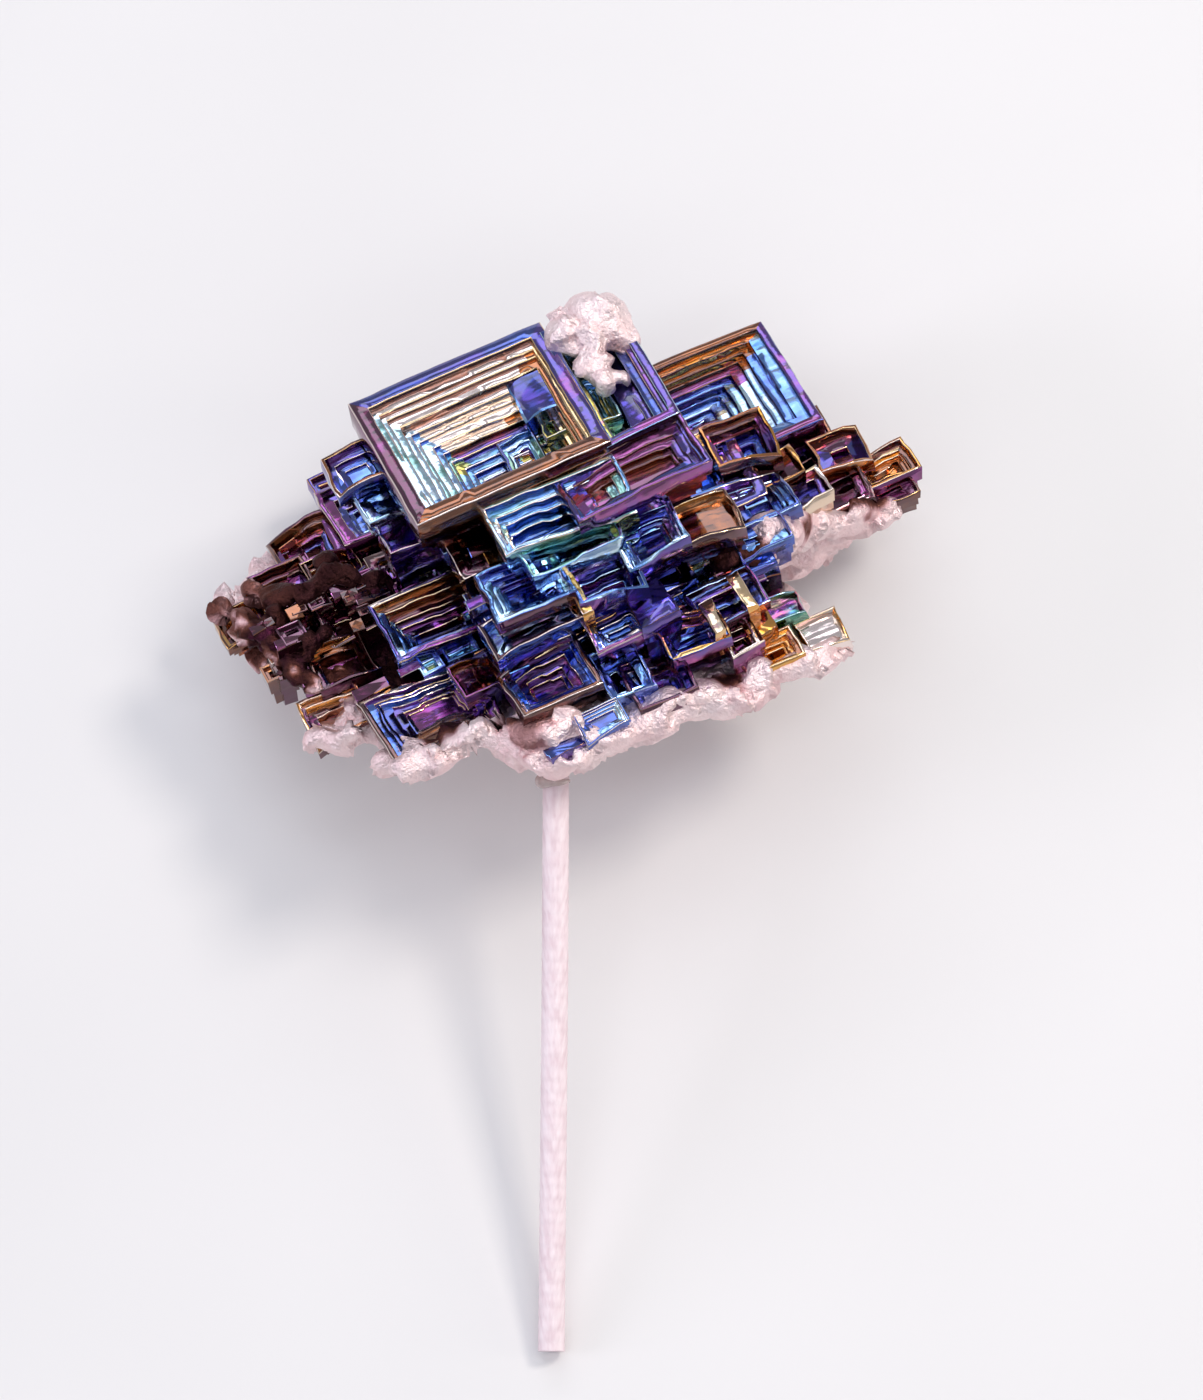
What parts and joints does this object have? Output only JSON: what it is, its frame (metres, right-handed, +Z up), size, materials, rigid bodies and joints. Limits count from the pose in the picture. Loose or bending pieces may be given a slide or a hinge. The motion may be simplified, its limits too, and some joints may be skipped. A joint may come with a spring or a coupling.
{
  "type": "bismuth hopper crystal",
  "caption": "Cluster of stepped hopper crystals of bismuth with oxide colours on a pale metal crust, fixed on the end of a thin straight rod, lying on its back",
  "frame": {"origin": "middle of the bounding box seen from above, on the surface that it lies on", "axes": "+Z up from that surface; the rod points towards -Y and the cluster lies at +Y; +X is the cluster's right side, seen with the rod at the bottom"},
  "size_m": [0.0522, 0.076, 0.0269],
  "materials": {
    "bismuth_crystal": "polished",
    "holding_rod": "matte",
    "glue_bead": "gloss"
  },
  "bodies": {
    "root": {"bismuth_crystal": "bismuth_crystal", "holding_rod": "holding_rod", "glue_bead": "glue_bead"}
  },
  "joints": []
}
